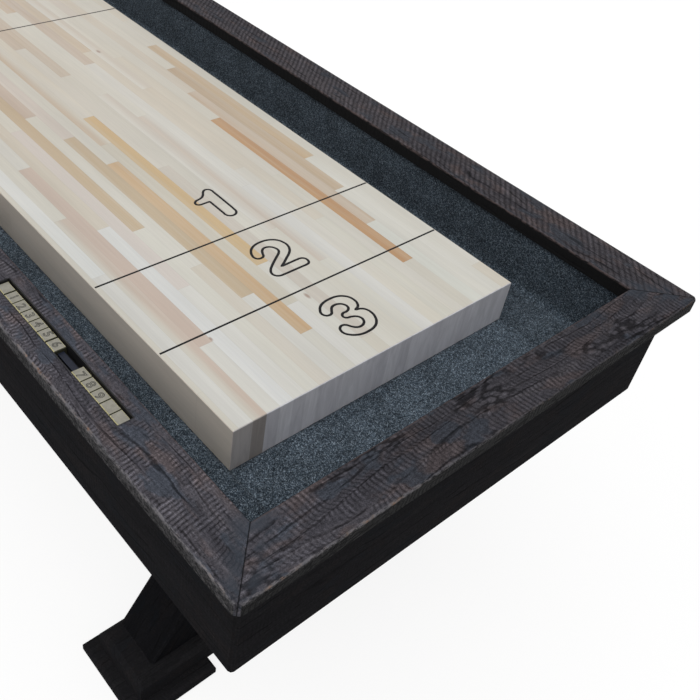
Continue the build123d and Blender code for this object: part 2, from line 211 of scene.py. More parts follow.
# ---- Rough-sawn charcoal wood ----
GRAIN_PITCH = 0.0135
ALONG_X, ALONG_Y = (0, 0, 0), (0, 0, math.radians(90))
VIOLET_GREY = [(0.26, (0.034, 0.033, 0.040)), (0.46, (0.052, 0.050, 0.059)), (0.60, (0.065, 0.061, 0.070)),
               (0.76, (0.092, 0.085, 0.092))]
RUSSET, SLATE_BLUE = (0.090, 0.070, 0.070), (0.046, 0.053, 0.068)
MITRE_SLATE, BLACK_STAIN_AND_SHADE = (0.042, 0.050, 0.064), (0.0092, 0.0092, 0.0097)
CHIPPED = [(0.40, (0.026, 0.026, 0.028)), (0.50, (0.098, 0.096, 0.102)), (0.58, (0.185, 0.178, 0.186)),
           (0.66, (0.300, 0.280, 0.280))]
WORN_BARE = [(0.36, (0.135, 0.132, 0.146)), (0.52, (0.178, 0.168, 0.178)), (0.60, (0.200, 0.166, 0.152)),
             (0.68, (0.270, 0.160, 0.112))]
WORN_INSIDE, RUBBED_FRAME = (0.105, 0.078, 0.076), (0.042, 0.040, 0.041)


def rough_sawn(name, turn, light, seed, sawn=1.0, pitch=0.0057, sway=3.0, tint=(1.0, 1.0, 1.0), slant=0.30,
               broken=1.0, plates=0.0):
    """The grain, colour and height of wood sawn rough and stained; finish_cap and finish_frame close it. Of
    the saw marks, sawn is the depth, pitch the spacing, sway the drift, slant the lean and broken how often
    they are interrupted; plates is how much is torn out beside them."""
    wood = Finish(name)
    grain = wood.place(turn, (seed, seed * 0.7, seed * 0.3))
    along, across, deep = wood.split(grain)
    wander = wood.less(wood.noise(wood.stretch(grain, 1.1, 5, 5), 0.30, 2), 0.5)
    over = wood.plus(across, deep, wood.times(wander, 0.05))
    bent = wood.join(along, over, wood.less(across, deep))

    # short dark cracks along the grain part the face into strips, with a pale lip beside them
    ripple = wood.noise(wood.stretch(bent, 6, 22, 10), 1, 5, 0.62)
    count = wood.plus(wood.times(over, 1 / GRAIN_PITCH), wood.times(ripple, 2.2))
    strip, part = wood.calc("FLOOR", count), wood.calc("FRACT", count)
    rim = wood.calc("MINIMUM", part, wood.less(1.0, part))
    open_crack = wood.grade(wood.noise(wood.stretch(bent, 14, 60, 20), 1, 3, 0.6), 0.42, 0.60)
    crack = wood.times(wood.grade(rim, 0.14, 0.02), open_crack)
    lip = wood.times(wood.grade(rim, 0.10, 0.16), wood.grade(rim, 0.28, 0.18), open_crack)

    # stain: violet grey, russet in some places, slate blue and smooth in others
    streaks = wood.noise(wood.stretch(bent, 2.4, 60, 20), 1, 4, 0.62)
    colour = wood.ramp(streaks, VIOLET_GREY)
    russet = wood.grade(wood.noise(wood.stretch(grain, 1, 2.4, 2.4), 0.060, 3), 0.52, 0.66)
    colour = wood.mix(wood.times(russet, 0.55), colour, RUSSET)
    slate = wood.grade(wood.noise(wood.stretch(grain, 1, 2, 2), 0.070, 3, 0.6), 0.54, 0.62)
    colour = wood.mix(wood.times(slate, 0.80), colour, SLATE_BLUE)

    # saw marks slant across it, change their pitch, and step from strip to strip where the grain is torn
    torn_grain = wood.grade(wood.noise(wood.stretch(bent, 3.2, 11, 7), 1, 2), 0.46, 0.56, 0.0, broken)
    stagger = wood.times(wood.dice(wood.join(strip, 0.5, seed)), torn_grain)
    bulge = wood.times(wood.calc("POWER", wood.less(part, 0.5), 2.0), wood.times(torn_grain, 2.0))
    drift = wood.times(wood.noise(wood.stretch(grain, 1, 0.7, 0.7), 0.075, 2), sway)
    jitter = wood.times(wood.noise(wood.stretch(bent, 90, 160, 90), 1, 2), 0.20 + 0.35 * broken)
    slanted = wood.plus(along, wood.times(across, slant))
    lines = wood.plus(wood.times(slanted, 1 / pitch), drift, stagger, bulge, jitter)
    tooth = wood.calc("ABSOLUTE", wood.less(wood.calc("FRACT", lines), 0.5))
    step = wood.dice(wood.join(wood.calc("FLOOR", lines), wood.times(strip, torn_grain), seed + 0.5))
    whole = 0.25 * (1 - broken)
    torn = wood.grade(wood.noise(wood.stretch(bent, 30, 90, 40), 1, 3, 0.65), 0.36 - whole, 0.58 - whole)
    reach = wood.grade(wood.noise(wood.stretch(bent, 8, 20, 9), 1, 3), 0.34 - whole, 0.50 - whole)
    depth = wood.times(torn, reach, wood.spared(slate, 0.75), sawn)

    # torn plates leave cushions with furrows round them
    fine = wood.stretch(bent, 80, 125, 100)
    plate, from_middle = wood.cells(wood.shift(fine, wood.join(ripple, ripple, 0.0)))
    flaked = wood.grade(wood.noise(wood.stretch(bent, 7, 13, 9), 1, 3, 0.6), 0.50, 0.57, 0.0, plates)
    depth = wood.times(depth, wood.spared(flaked, 0.7))
    groove = wood.times(wood.grade(tooth, 0.28, 0.47), depth)
    ridge = wood.times(wood.grade(tooth, 0.22, 0.05), depth, wood.grade(step, 0.0, 1.0, 0.35, 1.0))
    furrow = wood.times(wood.grade(from_middle, 0.40, 0.66), flaked)
    cushion = wood.times(wood.grade(from_middle, 0.50, 0.12), flaked, wood.grade(plate, 0.2, 0.9, 0.3, 1.0))

    # all of it together with pores, grit and mottle
    pores = wood.noise(wood.stretch(bent, 22, 420, 160), 1, 2, 0.6)
    grit = wood.noise(grain, 0.0016, 3, 0.7)
    mottle = wood.noise(wood.stretch(bent, 120, 260, 200), 1, 3, 0.7)
    # painted shade darkens the cracks, grooves and furrows; painted highlights lighten the lips, ridges and
    # cushions
    tone = wood.times(wood.spared(crack, 0.60), wood.plus(1.0, wood.times(lip, 0.20)),
                      wood.spared(groove, 0.45), wood.plus(1.0, wood.times(ridge, 0.55)),
                      wood.plus(0.92, wood.times(step, depth, 0.24)),
                      wood.spared(furrow, 0.60), wood.plus(1.0, wood.times(cushion, 0.85)),
                      wood.grade(grit, 0.30, 0.70, 0.62, 1.38), wood.grade(mottle, 0.30, 0.70, 0.74, 1.28),
                      wood.grade(pores, 0.58, 0.74, 1.0, 0.66), light)
    colour = wood.tinge(wood.shade(colour, tone), tint)
    height = wood.less(wood.times(streaks, 0.5), wood.plus(wood.times(groove, 0.6), wood.times(crack, 0.9)))
    height = wood.plus(height, wood.times(ridge, 0.3), wood.times(grit, 0.25), wood.times(pores, -0.25),
                       wood.times(furrow, -0.9), wood.times(cushion, 0.4))
    return wood, grain, colour, height


def finish_cap(wood, grain, colour, height, pale_face=0.0, paler_by=0.0, bare=1.0):
    """Closes a cap's finish. Its faces turn nearly black, the inner one with painted shade, the outer one
    below a band of chips that is pale_face deep; bare is how far its arrises are worn; the mitre is a dark
    line in slate;
    paler_by lightens the cap toward one mitre with a painted sheen and takes the wear off toward the other."""
    x, y, z = wood.split(wood.place())
    from_x, from_y = wood.less(CAP_X, wood.calc("ABSOLUTE", x)), wood.less(CAP_Y, wood.calc("ABSOLUTE", y))
    outer = wood.calc("MINIMUM", from_x, from_y)
    inner, drop = wood.less(CAP_WIDTH, outer), wood.less(CAP_TOP, z)
    mitre = wood.calc("ABSOLUTE", wood.less(from_x, from_y))
    # painted sheen: with paler_by the cap grows lighter toward one mitre
    toward = wood.grade(wood.times(y, wood.calc("SIGN", x)), -0.10, -0.40)
    colour = wood.shade(colour, wood.plus(1.0, wood.times(toward, paler_by)))
    away = wood.times(wood.grade(wood.times(y, wood.calc("SIGN", x)), -0.38, 0.15), min(paler_by, 1.0))
    veil = wood.grade(wood.noise(wood.stretch(grain, 1, 2, 2), 0.03, 3), 0.40, 0.60)
    colour = wood.mix(wood.times(wood.grade(mitre, 0.045, 0.010), veil, 0.65), colour, MITRE_SLATE)

    # the outer face, chipped pale above and nearly black below
    flake = wood.noise(wood.stretch(grain, 1, 1.2, 1.2), 0.0052, 5, 0.80)
    chips = wood.ramp(flake, CHIPPED)
    patches = wood.grade(wood.noise(grain, 0.018, 3, 0.6), 0.34, 0.66, 0.62, 1.14)
    chips = wood.shade(chips, wood.times(wood.grade(drop, 0.0, 0.010, 0.92, 0.46), patches))
    face = wood.grade(outer, 0.0016, 0.0004)
    colour = wood.mix(face, colour, chips)
    down = wood.plus(drop, wood.times(wood.less(0.5, flake), 0.026), wood.times(away, 0.012))
    shadow = wood.times(face, wood.grade(down, pale_face - 0.002, pale_face + 0.006))
    shadow = wood.times(shadow, wood.grade(flake, 0.46, 0.62, 1.0, 0.91))
    # painted shade: the inner face turns nearly black
    shadow = wood.calc("MAXIMUM", shadow, wood.grade(inner, 0.0016, 0.0004))
    colour = wood.mix(shadow, colour, BLACK_STAIN_AND_SHADE)

    # the arrises, rubbed bare in ragged patches
    ragged = wood.grade(wood.noise(wood.stretch(grain, 0.7, 3, 3), 0.0085, 4, 0.75), 0.43, 0.56)
    hue = wood.noise(grain, 0.022, 3, 0.7)
    worn = wood.ramp(hue, WORN_BARE)
    arris = wood.grade(wood.plus(outer, drop), 0.0034, 0.0018)
    colour = wood.mix(wood.times(arris, ragged, wood.spared(away), bare), colour, worn)
    edge = wood.grade(wood.plus(inner, drop), 0.0036, 0.0014)
    colour = wood.mix(wood.times(edge, ragged, 0.6), colour, WORN_INSIDE)
    colour = wood.shade(colour, wood.grade(mitre, 0.0004, 0.0016, 0.22, 1.0))
    return wood.done(colour, wood.grade(height, -0.4, 0.5, 0.86, 0.70), wood.relief(height, 0.0008),
                     Specular_IOR_Level=0.06)


def finish_frame(wood, grain, colour, height, calm, dark=0.0130):
    """Closes the finish of a panel, leg or beam, whose stain is evened out by calm toward a dark one."""
    colour = wood.mix(calm, colour, (dark, dark, dark * 1.06))
    rubbed = wood.grade(wood.noise(grain, 0.011, 4, 0.7), 0.42, 0.60)
    colour = wood.mix(wood.times(wood.arris(0.003), rubbed, 0.35), colour, RUBBED_FRAME)
    return wood.done(colour, wood.grade(height, -0.4, 0.5, 0.90, 0.78), wood.relief(height, 0.0004),
                     Specular_IOR_Level=0.01)


def finish_caps():
    # light differs from cap to cap as a painted sheen: the left cap lightest, the crosswise ones darkest
    left = rough_sawn("charcoal_cap_left", ALONG_X, light=1.22, seed=0.4, sawn=1.35, sway=1.4, slant=0.15,
                      plates=0.25)
    paint(finish_cap(*left, pale_face=0.017), "cap_left")
    right = rough_sawn("charcoal_cap_right", ALONG_X, light=0.88, seed=1.9, sawn=0.85, pitch=0.0106, sway=0.4,
                       tint=(1.02, 0.98, 0.94), slant=0.85, broken=0.25)
    paint(finish_cap(*right, pale_face=0.006, bare=0.4), "cap_right")
    ends = rough_sawn("charcoal_cap_crosswise", ALONG_Y, light=0.74, seed=3.1, pitch=0.0068, sway=1.2,
                      slant=0.1, broken=0.8, plates=1.0)
    paint(finish_cap(*ends, pale_face=0.001, paler_by=0.75, bare=0.85), "cap_front", "cap_rear")


def finish_frames():
    for name, turn, seed, calm, pieces in (
            ("charcoal_panel_lengthwise", ALONG_X, 7.7, 0.60, ("panel_left", "panel_right")),
            ("charcoal_panel_crosswise", ALONG_Y, 5.2, 0.60, ("panel_front", "panel_rear")),
            ("charcoal_beams", ALONG_Y, 9.3, 0.65,
             ("foot_beam_front", "foot_beam_rear", "head_beam_front", "head_beam_rear", "foot_pads"))):
        paint(finish_frame(*rough_sawn(name, turn, light=0.32, seed=seed, sawn=0.4), calm), *pieces)
    leg_rise, leg_run = 0.496, 0.332
    lean = math.atan2(leg_rise, leg_run)
    for name, turn, legs in (
            ("charcoal_legs_rising_right", -lean, ("cross_leg_left_front", "cross_leg_right_rear")),
            ("charcoal_legs_rising_left", lean - math.pi, ("cross_leg_right_front", "cross_leg_left_rear"))):
        wood = rough_sawn(name, (turn, 0, math.radians(90)), light=0.16, seed=2.2, sawn=0.35,
                          tint=(0.95, 1.0, 1.06))
        paint(finish_frame(*wood, calm=0.5, dark=0.0085), *legs)


# ---- Maple butcher block ----
ROW, FIRST_ROW, STAVE = 0.0208, 0.0083, 0.478
PALE_STAVES = [(0.0, (0.622, 0.612, 0.575)), (0.3, (0.606, 0.588, 0.522)), (0.6, (0.595, 0.568, 0.494)),
               (0.85, (0.590, 0.552, 0.470)), (1.0, (0.572, 0.520, 0.436))]
COLOURED_STAVES = [(0.0, (0.605, 0.580, 0.512)), (0.58, (0.56, 0.50, 0.43)), (0.66, (0.535, 0.440, 0.340)),
                   (0.76, (0.52, 0.405, 0.28)), (0.84, (0.55, 0.42, 0.26)), (0.90, (0.49, 0.355, 0.235)),
                   (0.95, (0.50, 0.41, 0.32))]
SAPWOOD, HEARTWOOD, MELLOWED = (0.640, 0.632, 0.604), (0.88, 0.74, 0.58), (0.945, 0.915, 0.885)
END_GRAIN_AND_LIGHT = [(0.0, (0.645, 0.635, 0.680)), (0.5, (0.715, 0.705, 0.750)), (1.0, (0.760, 0.752, 0.795))]
BROWN_END, DARK_END, KNOT_BROWN = (0.640, 0.590, 0.560), (0.300, 0.262, 0.235), (0.27, 0.15, 0.10)
PAINTED_SIDE_LIGHT = (1.22, 1.15, 1.15)
# where a joint falls in each row, counted from the left side: the joints repeat every stave length
JOINTS = {-1: 0.600, 0: 1.302, 1: 1.161, 2: 1.013, 3: 1.210, 4: 0.905, 5: 0.761, 6: 0.875, 7: 0.965, 8: 1.065,
          9: 1.011, 10: 0.920, 11: 1.115, 12: 0.771, 13: 1.340, 14: 0.960, 15: 0.748, 16: 1.180, 17: 0.878,
          18: 1.226, 19: 1.029, 20: 0.928, 21: 0.832, 22: 0.733, 23: 1.090}
# staves picked for their tint: the row, a place along the stave, its deeper side (1 the right, -1 the left,
# 0 neither), and the tint
TINTED = [
    (0, 1.00, 0, (0.665, 0.672, 0.650)), (1, 1.40, 1, (0.545, 0.455, 0.385)),
    (2, 1.20, 0, (0.525, 0.423, 0.355)), (3, 1.40, 0, (0.648, 0.651, 0.636)),
    (4, 1.10, 0, (0.584, 0.533, 0.488)), (5, 1.00, 0, (0.492, 0.378, 0.240)),
    (6, 0.80, 0, (0.504, 0.405, 0.327)), (7, 1.20, 0, (0.489, 0.388, 0.262)),
    (7, 0.70, 0, (0.581, 0.525, 0.470)), (8, 1.30, 0, (0.546, 0.383, 0.220)),
    (9, 0.80, -1, (0.540, 0.448, 0.345)), (9, 1.20, 0, (0.552, 0.515, 0.430)),
    (10, 1.10, 0, (0.548, 0.388, 0.195)), (11, 1.30, 0, (0.540, 0.497, 0.435)),
    (11, 0.80, 0, (0.588, 0.557, 0.490)), (12, 1.00, 0, (0.567, 0.540, 0.470)),
    (12, 0.60, 0, (0.517, 0.433, 0.338)), (13, 1.10, 1, (0.557, 0.501, 0.432)),
    (14, 1.20, -1, (0.550, 0.485, 0.415)), (15, 0.60, 0, (0.505, 0.420, 0.340)),
    (17, 0.60, 1, (0.565, 0.520, 0.450)), (17, 1.50, 0, (0.582, 0.560, 0.485)),
    (19, 1.20, 0, (0.462, 0.270, 0.125)), (20, 1.20, 0, (0.527, 0.430, 0.330)),
    (20, 1.50, 0, (0.616, 0.618, 0.560)), (21, 1.10, 0, (0.462, 0.345, 0.222)),
    (22, 1.00, 0, (0.515, 0.388, 0.245)), (23, 0.80, 0, (0.571, 0.553, 0.485))]
# knots: their places along and across, and their sizes
KNOTS = [(1.4874, -0.0206, 0.0028), (1.4865, -0.1824, 0.0018), (0.71, 0.118, 0.003),
         (-0.934, 0.062, 0.003), (-1.402, -0.131, 0.002), (0.214, -0.071, 0.0025)]


def maple_block():
    """Rows of staves glued up on edge, some of them tinted, with end grain on the sawn ends."""
    maple = Finish("maple_butcher_block")
    here = maple.place()
    x, y, z = maple.split(here)
    count = maple.times(maple.plus(y, FIELD_Y - FIRST_ROW), 1 / ROW)
    row = maple.calc("FLOOR", count)
    rows = len(JOINTS)
    shares = [((number + 1) / rows, ((joint / STAVE) % 1,) * 3) for number, joint in sorted(JOINTS.items())]
    joint = maple.ramp(maple.times(maple.plus(row, 1.5), 1 / rows), shares, "CONSTANT")
    lengths = maple.less(maple.times(x, 1 / STAVE), joint)
    stave = maple.calc("FLOOR", lengths)
    luck = maple.dice(maple.join(row, stave, 0.37))
    colour = maple.ramp(luck, PALE_STAVES)
    local = maple.shift(here, maple.join(maple.times(luck, 7.3), maple.times(luck, 3.1), luck))
    wisp = maple.noise(maple.stretch(local, 1.4, 15, 12), 1, 3, 0.5)
    colour = maple.mix(maple.grade(wisp, 0.48, 0.68, 0.0, 0.30), colour, SAPWOOD)

    # coloured staves: by lot away from the front end, and the picked ones in it
    part, butt = maple.calc("FRACT", count), maple.calc("FRACT", lengths)
    vein = maple.noise(maple.stretch(local, 1.3, 95, 40), 1, 3, 0.6)
    body = maple.times(maple.grade(wisp, 0.34, 0.60, 0.93, 1.0), maple.grade(vein, 0.38, 0.58, 0.84, 1.0))
    slope = maple.plus(part, maple.times(maple.less(wisp, 0.5), 0.9))
    bodies = (body, maple.times(body, maple.grade(slope, 0.0, 0.75, 0.12, 1.0)),
              maple.times(body, maple.grade(slope, 1.0, 0.25, 0.12, 1.0)))
    drawn = maple.ramp(maple.dice(maple.join(stave, row, 4.1)), COLOURED_STAVES, "CONSTANT")
    coloured = maple.grade(maple.dice(maple.join(stave, row, 4.1)), 0.579, 0.5801)
    middle = maple.times(maple.plus(stave, joint, 0.5), STAVE)
    colour = maple.mix(maple.times(coloured, maple.grade(middle, 0.47, 0.46), body), colour, drawn)
    for number, reach, deeper, tint in TINTED:
        turn = math.floor(reach / STAVE - (JOINTS[number] / STAVE) % 1)
        hit = maple.times(maple.calc("COMPARE", row, number, 0.4), maple.calc("COMPARE", stave, turn, 0.4))
        colour = maple.mix(maple.times(hit, bodies[deeper]), colour, tint)
    mellow = maple.grade(maple.calc("ABSOLUTE", x), 1.32, 0.75)
    colour = maple.mix(mellow, colour, maple.tinge(colour, MELLOWED))
    # heartwood runs through the coloured staves in long streaks
    _, _, blue = maple.split(colour)
    heart = maple.noise(maple.stretch(local, 1.2, 42, 22), 1, 4, 0.62, 0.3)
    streaked = maple.times(maple.grade(blue, 0.46, 0.30), maple.grade(heart, 0.50, 0.64))
    colour = maple.mix(maple.times(streaked, 0.50), colour, maple.tinge(colour, HEARTWOOD))

    # the wood's figure, and glue lines at the seams
    figure = maple.noise(maple.stretch(local, 2.2, 60, 30), 1, 4, 0.55, 0.4)
    cloud = maple.noise(maple.stretch(here, 3, 11, 11), 1, 3)
    silk = maple.noise(maple.stretch(local, 14, 420, 200), 1, 3, 0.6)
    tone = maple.times(maple.grade(figure, 0.25, 0.75, 0.955, 1.035),
                       maple.grade(cloud, 0.3, 0.7, 0.95, 1.035), maple.grade(silk, 0.3, 0.7, 0.97, 1.02))
    seam = maple.calc("MINIMUM", part, maple.less(1.0, part))
    butt = maple.calc("MINIMUM", butt, maple.less(1.0, butt))
    glue = maple.calc("MAXIMUM", maple.grade(seam, 0.022, 0.004), maple.grade(butt, 0.0014, 0.0003))
    colour = maple.shade(colour, maple.times(tone, maple.spared(glue, 0.08)))
    for knot_x, knot_y, size in KNOTS:
        off = maple.plus(maple.times(maple.less(x, knot_x), 0.45 / size),
                         maple.times(maple.less(figure, 0.5), 1.5))
        side = maple.times(maple.less(y, knot_y), 1 / size)
        gap = maple.calc("SQRT", maple.plus(maple.times(off, off), maple.times(side, side)))
        colour = maple.mix(maple.grade(gap, 1.5, 0.4, 0.0, 0.7), colour, KNOT_BROWN)

    # the sawn ends show end grain, greyer, browner in the first rows, with one dark row at the front
    end = maple.grade(maple.calc("ABSOLUTE", x), FIELD_X - 0.0010, FIELD_X - 0.0004)
    sawn = maple.join(maple.times(x, 20), maple.times(y, 120), maple.times(z, 22))
    rings = maple.noise(sawn, 1, 3, 0.55, 0.6)
    # the end grain is paler than the top: its own greyer colour, partly lifted by painted light
    ends = maple.ramp(maple.dice(maple.join(row, 8.8, 2.5)), END_GRAIN_AND_LIGHT)
    ends = maple.mix(maple.grade(row, 2.2, 0.2, 0.0, 0.8), ends, BROWN_END)
    dark = maple.times(maple.calc("COMPARE", row, 1.0, 0.4), maple.grade(x, 0.0, 0.1))
    ends = maple.mix(maple.times(dark, 0.85), ends, DARK_END)
    ends = maple.shade(ends, maple.times(maple.grade(rings, 0.25, 0.75, 0.88, 1.08),
                                         maple.grade(row, 0.9, 0.1, 1.0, 0.78)))
    colour = maple.mix(end, colour, ends)
    # painted light: the long sides are made lighter than the top
    side = maple.grade(maple.calc("ABSOLUTE", y), FIELD_Y - 0.0010, FIELD_Y - 0.0004)
    colour = maple.mix(side, colour, maple.tinge(colour, PAINTED_SIDE_LIGHT))
    rough = maple.grade(figure, 0.3, 0.7, 0.30, 0.40)
    return maple.done(colour, rough, maple.relief(silk, 0.00003), Coat_Weight=0.25, Coat_Roughness=0.15)


# ---- Speckled gutter carpet ----
PILE_HEIGHT, BACKING, EDGE_ROOM = 0.005, 0.0036, 0.0005
SPECKS = [(0.0, (0.019, 0.027, 0.037)), (0.30, (0.036, 0.050, 0.067)), (0.55, (0.070, 0.093, 0.119)),
          (0.80, (0.125, 0.161, 0.199)), (1.0, (0.255, 0.309, 0.363))]


def speckled_carpet(name, light):
    """The strips differ a little in brightness by light, which paints shade on them."""
    pile = Finish(name)
    here = pile.place()
    sway = pile.times(pile.noise(here, 0.004, 2), 0.0022)
    bent = pile.shift(here, pile.join(sway, pile.times(sway, -0.7), sway))
    loop, reach = pile.cells(bent, 0.00105)
    yarn, _ = pile.cells(pile.stretch(bent, 1.0, 0.55, 0.8), 0.0022)
    colour = pile.ramp(loop, SPECKS)
    # painted shade: light makes the whole strip darker or lighter
    colour = pile.shade(colour, light)
    colour = pile.shade(colour, pile.grade(yarn, 0.0, 1.0, 0.74, 1.30))
    # painted shade between the loops: darker toward each loop's rim
    colour = pile.shade(colour, pile.grade(reach, 0.30, 0.75, 1.08, 0.62))
    wide = pile.noise(here, 0.05, 4, 0.6)
    colour = pile.shade(colour, pile.grade(wide, 0.3, 0.7, 0.84, 1.16))
    height = pile.plus(pile.times(loop, 0.5), pile.times(yarn, 0.4), pile.times(reach, -0.5))
    return pile.done(colour, 0.95, pile.relief(height, 0.0012), Specular_IOR_Level=0.06, Sheen_Weight=0.05,
                     Sheen_Roughness=0.5)


def folded_carpet(name, run, floor, floor_run, node, wall, swing, material):
    """A strip that lies on the gutter's floor and turns up its wall. Its half length is run, or floor_run on
    the floor; floor is its width up to the wall, which stands wall from the middle, and swing turns the strip
    into place."""
    bend, foot, room, step = 0.007, CARPET_FOOT + PILE_HEIGHT, 0.0006, 0.0055
    tuft_height, tufts, sunk = 0.0007, 160, 0.0004
    rise = CAP_FOOT - room - foot
    flat = floor - bend
    quarter = bend * math.pi / 2
    width = flat + quarter + rise - bend
    shape = bmesh.new()
    lay = Matrix.Translation((width / 2, 0, 0)) @ Matrix.Diagonal((width, 2 * run, 1, 1))
    bmesh.ops.create_grid(shape, x_segments=round(width / step), y_segments=round(2 * run / step), size=0.5,
                          matrix=lay)
    if floor_run < run:
        for side in (-1, 1):
            bmesh.ops.bisect_plane(shape, geom=shape.verts[:] + shape.edges[:] + shape.faces[:],
                                   plane_co=(0, side * floor_run, 0), plane_no=(0, 1, 0))
        spare = []
        for patch in shape.faces:
            centre = patch.calc_center_median()
            if centre.x < floor - bend / 2 and abs(centre.y) > floor_run:
                spare.append(patch)
        bmesh.ops.delete(shape, geom=spare, context="FACES")
    for point in shape.verts:
        gone, along = point.co.x, point.co.y
        turned = min(max((gone - flat) / bend, 0), math.pi / 2)
        out = min(gone, flat) + bend * math.sin(turned)
        up = bend * (1 - math.cos(turned)) + max(0, gone - flat - quarter)
        tuft = tuft_height * noise.noise(Vector((gone * tufts, along * tufts, 7))) - sunk
        point.co = (wall - floor + out - tuft * math.sin(turned), along, foot + up + tuft * math.cos(turned))
    bmesh.ops.transform(shape, matrix=Matrix.Rotation(swing, 4, "Z"), verts=shape.verts)
    bmesh.ops.recalc_face_normals(shape, faces=shape.faces)
    if shape.faces[0].normal.z < 0:
        bmesh.ops.reverse_faces(shape, faces=shape.faces)
    for patch in shape.faces:
        patch.smooth = True
    carpet = piece_from(shape, name, "table", material)
    backing = carpet.modifiers.new("backing", "SOLIDIFY")
    backing.thickness, backing.offset = BACKING, -1
    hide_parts(node)


def lay_carpets():
    # painted shade: the right strip darker and the end strips lighter than the left one
    left, right, ends = (speckled_carpet(f"slate_carpet_{name}", light)
                         for name, light in (("left", 1.0), ("right", 0.86), ("ends", 1.10)))
    wall_x, wall_y = CARPET_X - PILE_HEIGHT, CARPET_Y - PILE_HEIGHT
    side_floor, end_floor = wall_y - FIELD_Y - EDGE_ROOM, wall_x - FIELD_X - EDGE_ROOM
    hair = 0.0002
    side_run, end_run, end_floor_run = CARPET_X - hair, wall_y - hair, FIELD_Y + 2 * hair
    for name, swing, material in (("carpet_left", -math.pi / 2, left), ("carpet_right", math.pi / 2, right)):
        folded_carpet(name, side_run, side_floor, side_run, "carpet_sides", wall_y, swing, material)
    for name, swing in (("carpet_front", 0), ("carpet_rear", math.pi)):
        folded_carpet(name, end_run, end_floor, end_floor_run, "carpet_ends", wall_x, swing, ends)


# ---- Scoring lines and numerals ----
LINE_WIDTH, ZONE, FOUL = 0.0031, 0.154, 1.079
LINE_BLACK, DIGIT_GREY = (0.007, 0.007, 0.008), (0.045, 0.045, 0.042)
# each numeral's outline in mm, right and up from its middle; True marks a sharp corner
ONE = [(12, 40), (7, 37), (3, 32), (-1, 27.5), (-6, 24.5), (-12, 23), (-17, 22), (-21, 19), (-22.5, 15.5),
       (-20.5, 11.5), (-16, 10), (-11, 10), (0, 10, True), (0, -8), (0, -26), (0, -31), (4, -36.5),
       (9, -38), (15, -36.5), (19.5, -31), (20, -26), (20.5, 0), (20.5, 28), (20.5, 33), (18, 38)]
TWO = [(2, 40.5), (-8, 39.5), (-18, 35.5), (-25, 29), (-29, 21), (-29.5, 15), (-27, 11), (-21, 9.5),
       (-16, 11.5), (-13, 17), (-9, 23), (-4, 26), (1, 26), (7, 23), (11, 17), (11.5, 11), (8, 6), (0, 0.5),
       (-10, -6), (-20, -13), (-27, -19), (-31, -26), (-30, -32), (-25, -36), (-15, -37), (0, -37),
       (18, -37), (25, -37), (30, -35.5), (33, -30), (31.5, -24), (27, -21), (20, -20.5), (8, -20.6),
       (-9, -21, True), (0, -16), (10, -9.5), (20, -3), (27, 4), (31, 14), (30, 23), (26, 31), (18, 37),
       (10, 39.8)]
THREE = [(0, 41), (-10, 40), (-20, 36), (-26, 30), (-29, 24), (-27.5, 18.5), (-22, 15.5), (-17, 16.5),
         (-13, 21), (-8, 26), (-2, 27.5), (5, 26), (10, 21.5), (11.5, 16), (9, 11), (3, 8.5), (-3, 8.5),
         (-7, 6), (-8, 2), (-5, -1.5), (1, -3), (7, -6), (11, -11), (11, -16.5), (7, -22), (0, -24.5),
         (-7, -23), (-12, -18), (-16, -12), (-21, -9.5), (-27, -11.5), (-30, -17), (-29.5, -23), (-25, -29),
         (-18, -34), (-9, -37), (2, -37.5), (14, -35.5), (23, -30), (29, -21), (31, -12), (29, -3), (24, 2),
         (16, 4.5, True), (24, 8), (28, 14), (29, 20), (27.5, 28), (22, 35), (12, 40)]


def enamel(name, colour, rough):
    film = Finish(name)
    speck = film.noise(film.place(), 0.0012, 3, 0.6)
    shade = film.shade(colour, film.grade(speck, 0.3, 0.7, 0.85, 1.2))
    return film.done(shade, film.grade(speck, 0.3, 0.7, rough - 0.05, rough + 0.08),
                     film.relief(speck, 0.00002), Specular_IOR_Level=0.12)


def mesh_of(outline, name):
    """The mesh of a drawn curve or text."""
    drawn = bpy.data.objects.new(name, outline)
    mesh = bpy.data.meshes.new_from_object(drawn)
    bpy.data.objects.remove(drawn)
    mesh.name = name
    return mesh


def numeral(name, points, middle, swing, ink):
    """A printed numeral: a rounded line along its outline, pressed nearly flat on the playfield."""
    stroke, lift, press = 0.0020, 0.00002, 0.09
    outline = bpy.data.curves.new(name, "CURVE")
    outline.dimensions, outline.resolution_u = "3D", 8
    outline.bevel_depth, outline.bevel_resolution = stroke, 2
    spline = outline.splines.new("BEZIER")
    spline.bezier_points.add(len(points) - 1)
    spline.use_cyclic_u = True
    for knot, (right, up, *sharp) in zip(spline.bezier_points, points):
        knot.co = (right / 1000, up / 1000, 0)
        knot.handle_left_type = knot.handle_right_type = "VECTOR" if sharp else "AUTO"
    mesh = mesh_of(outline, name)
    lay = Matrix.Translation((*middle, FIELD_TOP + lift)) @ Matrix.Rotation(swing, 4, "Z")
    mesh.transform(lay @ Matrix.Diagonal((1, 1, press, 1)))
    settle(bpy.data.objects.new(name, mesh), "table", ink)


